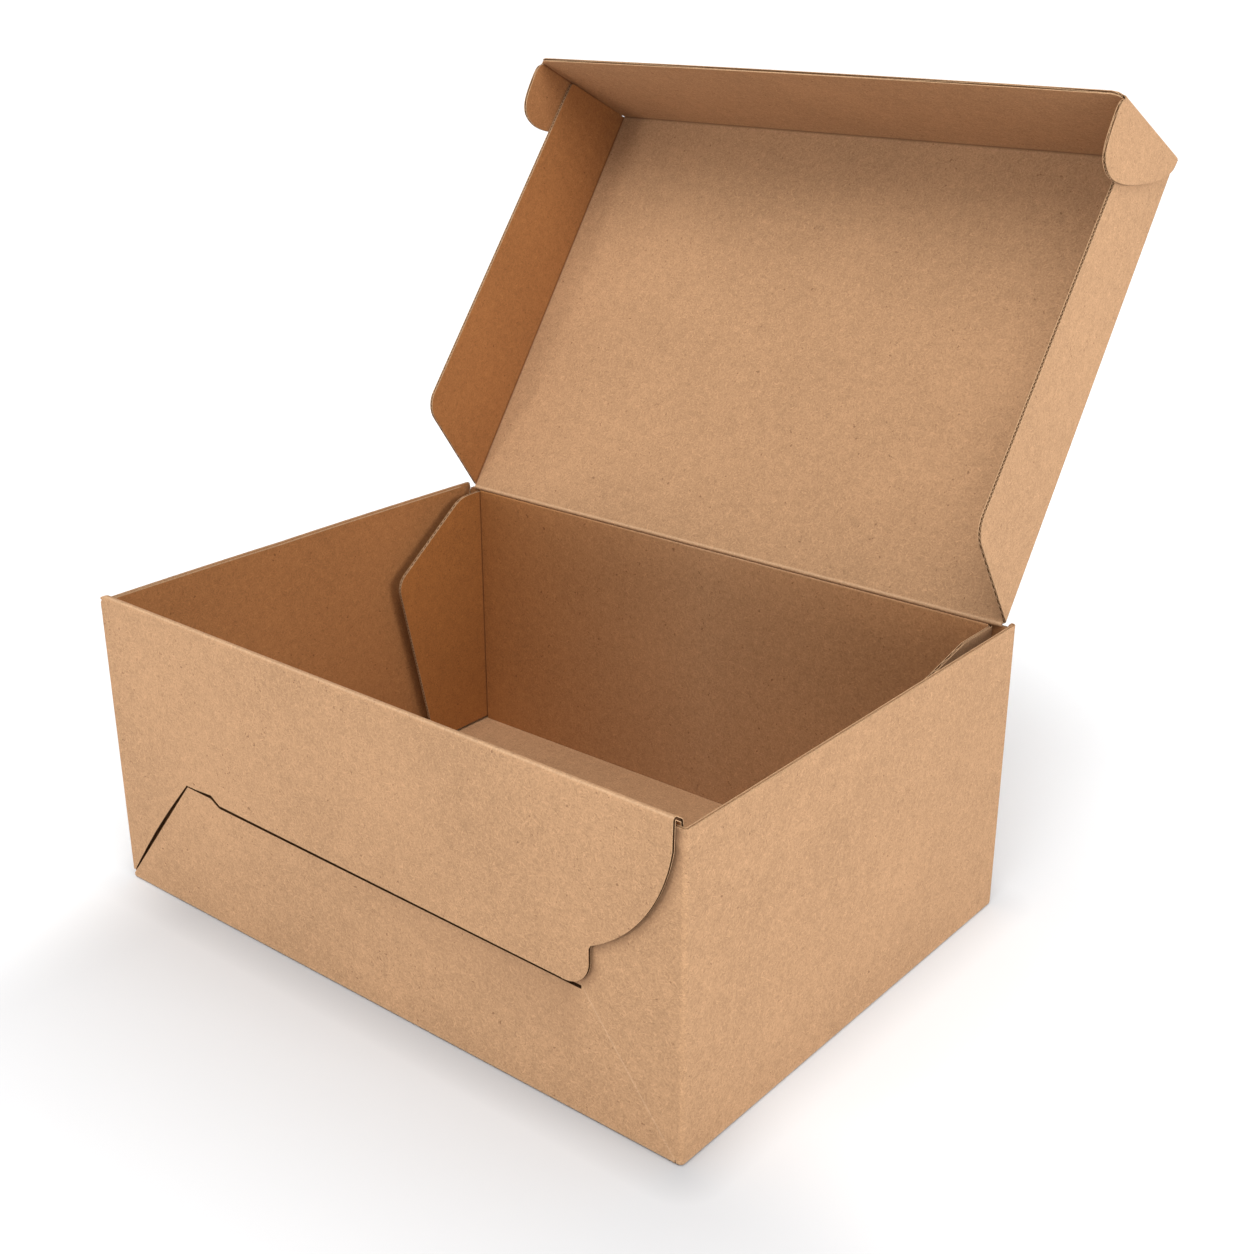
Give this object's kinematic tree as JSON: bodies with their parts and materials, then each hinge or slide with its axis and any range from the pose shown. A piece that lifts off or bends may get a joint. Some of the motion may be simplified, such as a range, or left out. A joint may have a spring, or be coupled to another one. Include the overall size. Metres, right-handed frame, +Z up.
{
  "type": "open cardboard box",
  "caption": "Tuck-front mailer box of thin brown corrugated board, with a locked front, inner dust flaps and a hinged lid that has side flaps, a front lip and ears.",
  "frame": {"origin": "the point under the middle of the tray's floor, on the surface that the box stands on", "axes": "+X along the front from left to right, +Y from the front to the back, +Z up"},
  "size_m": [0.3, 0.3329, 0.3248],
  "materials": {
    "kraft_board": "matte, fibrous brown kraft liner on both faces, with the flutes between the two liners on cut edges"
  },
  "bodies": {
    "tray": {"tray": "kraft_board"},
    "lid": {"lid": "kraft_board"},
    "left_dust_flap": {"left_dust_flap": "kraft_board"},
    "right_dust_flap": {"right_dust_flap": "kraft_board"}
  },
  "joints": [
    {"name": "lid_hinge", "type": "hinge", "parent": "tray", "child": "lid", "pos_m": [0, 0.10525, 0.12625], "axis": [-1, 0, 0], "range_deg": [-125, 55]},
    {"name": "left_dust_flap_fold", "type": "hinge", "parent": "tray", "child": "left_dust_flap", "pos_m": [-0.1393, 0.1045, 0.0638], "axis": [0, 0, 1], "range_deg": [0, 85]},
    {"name": "right_dust_flap_fold", "type": "hinge", "parent": "tray", "child": "right_dust_flap", "pos_m": [0.1393, 0.1045, 0.0638], "axis": [0, 0, -1], "range_deg": [0, 85]}
  ]
}
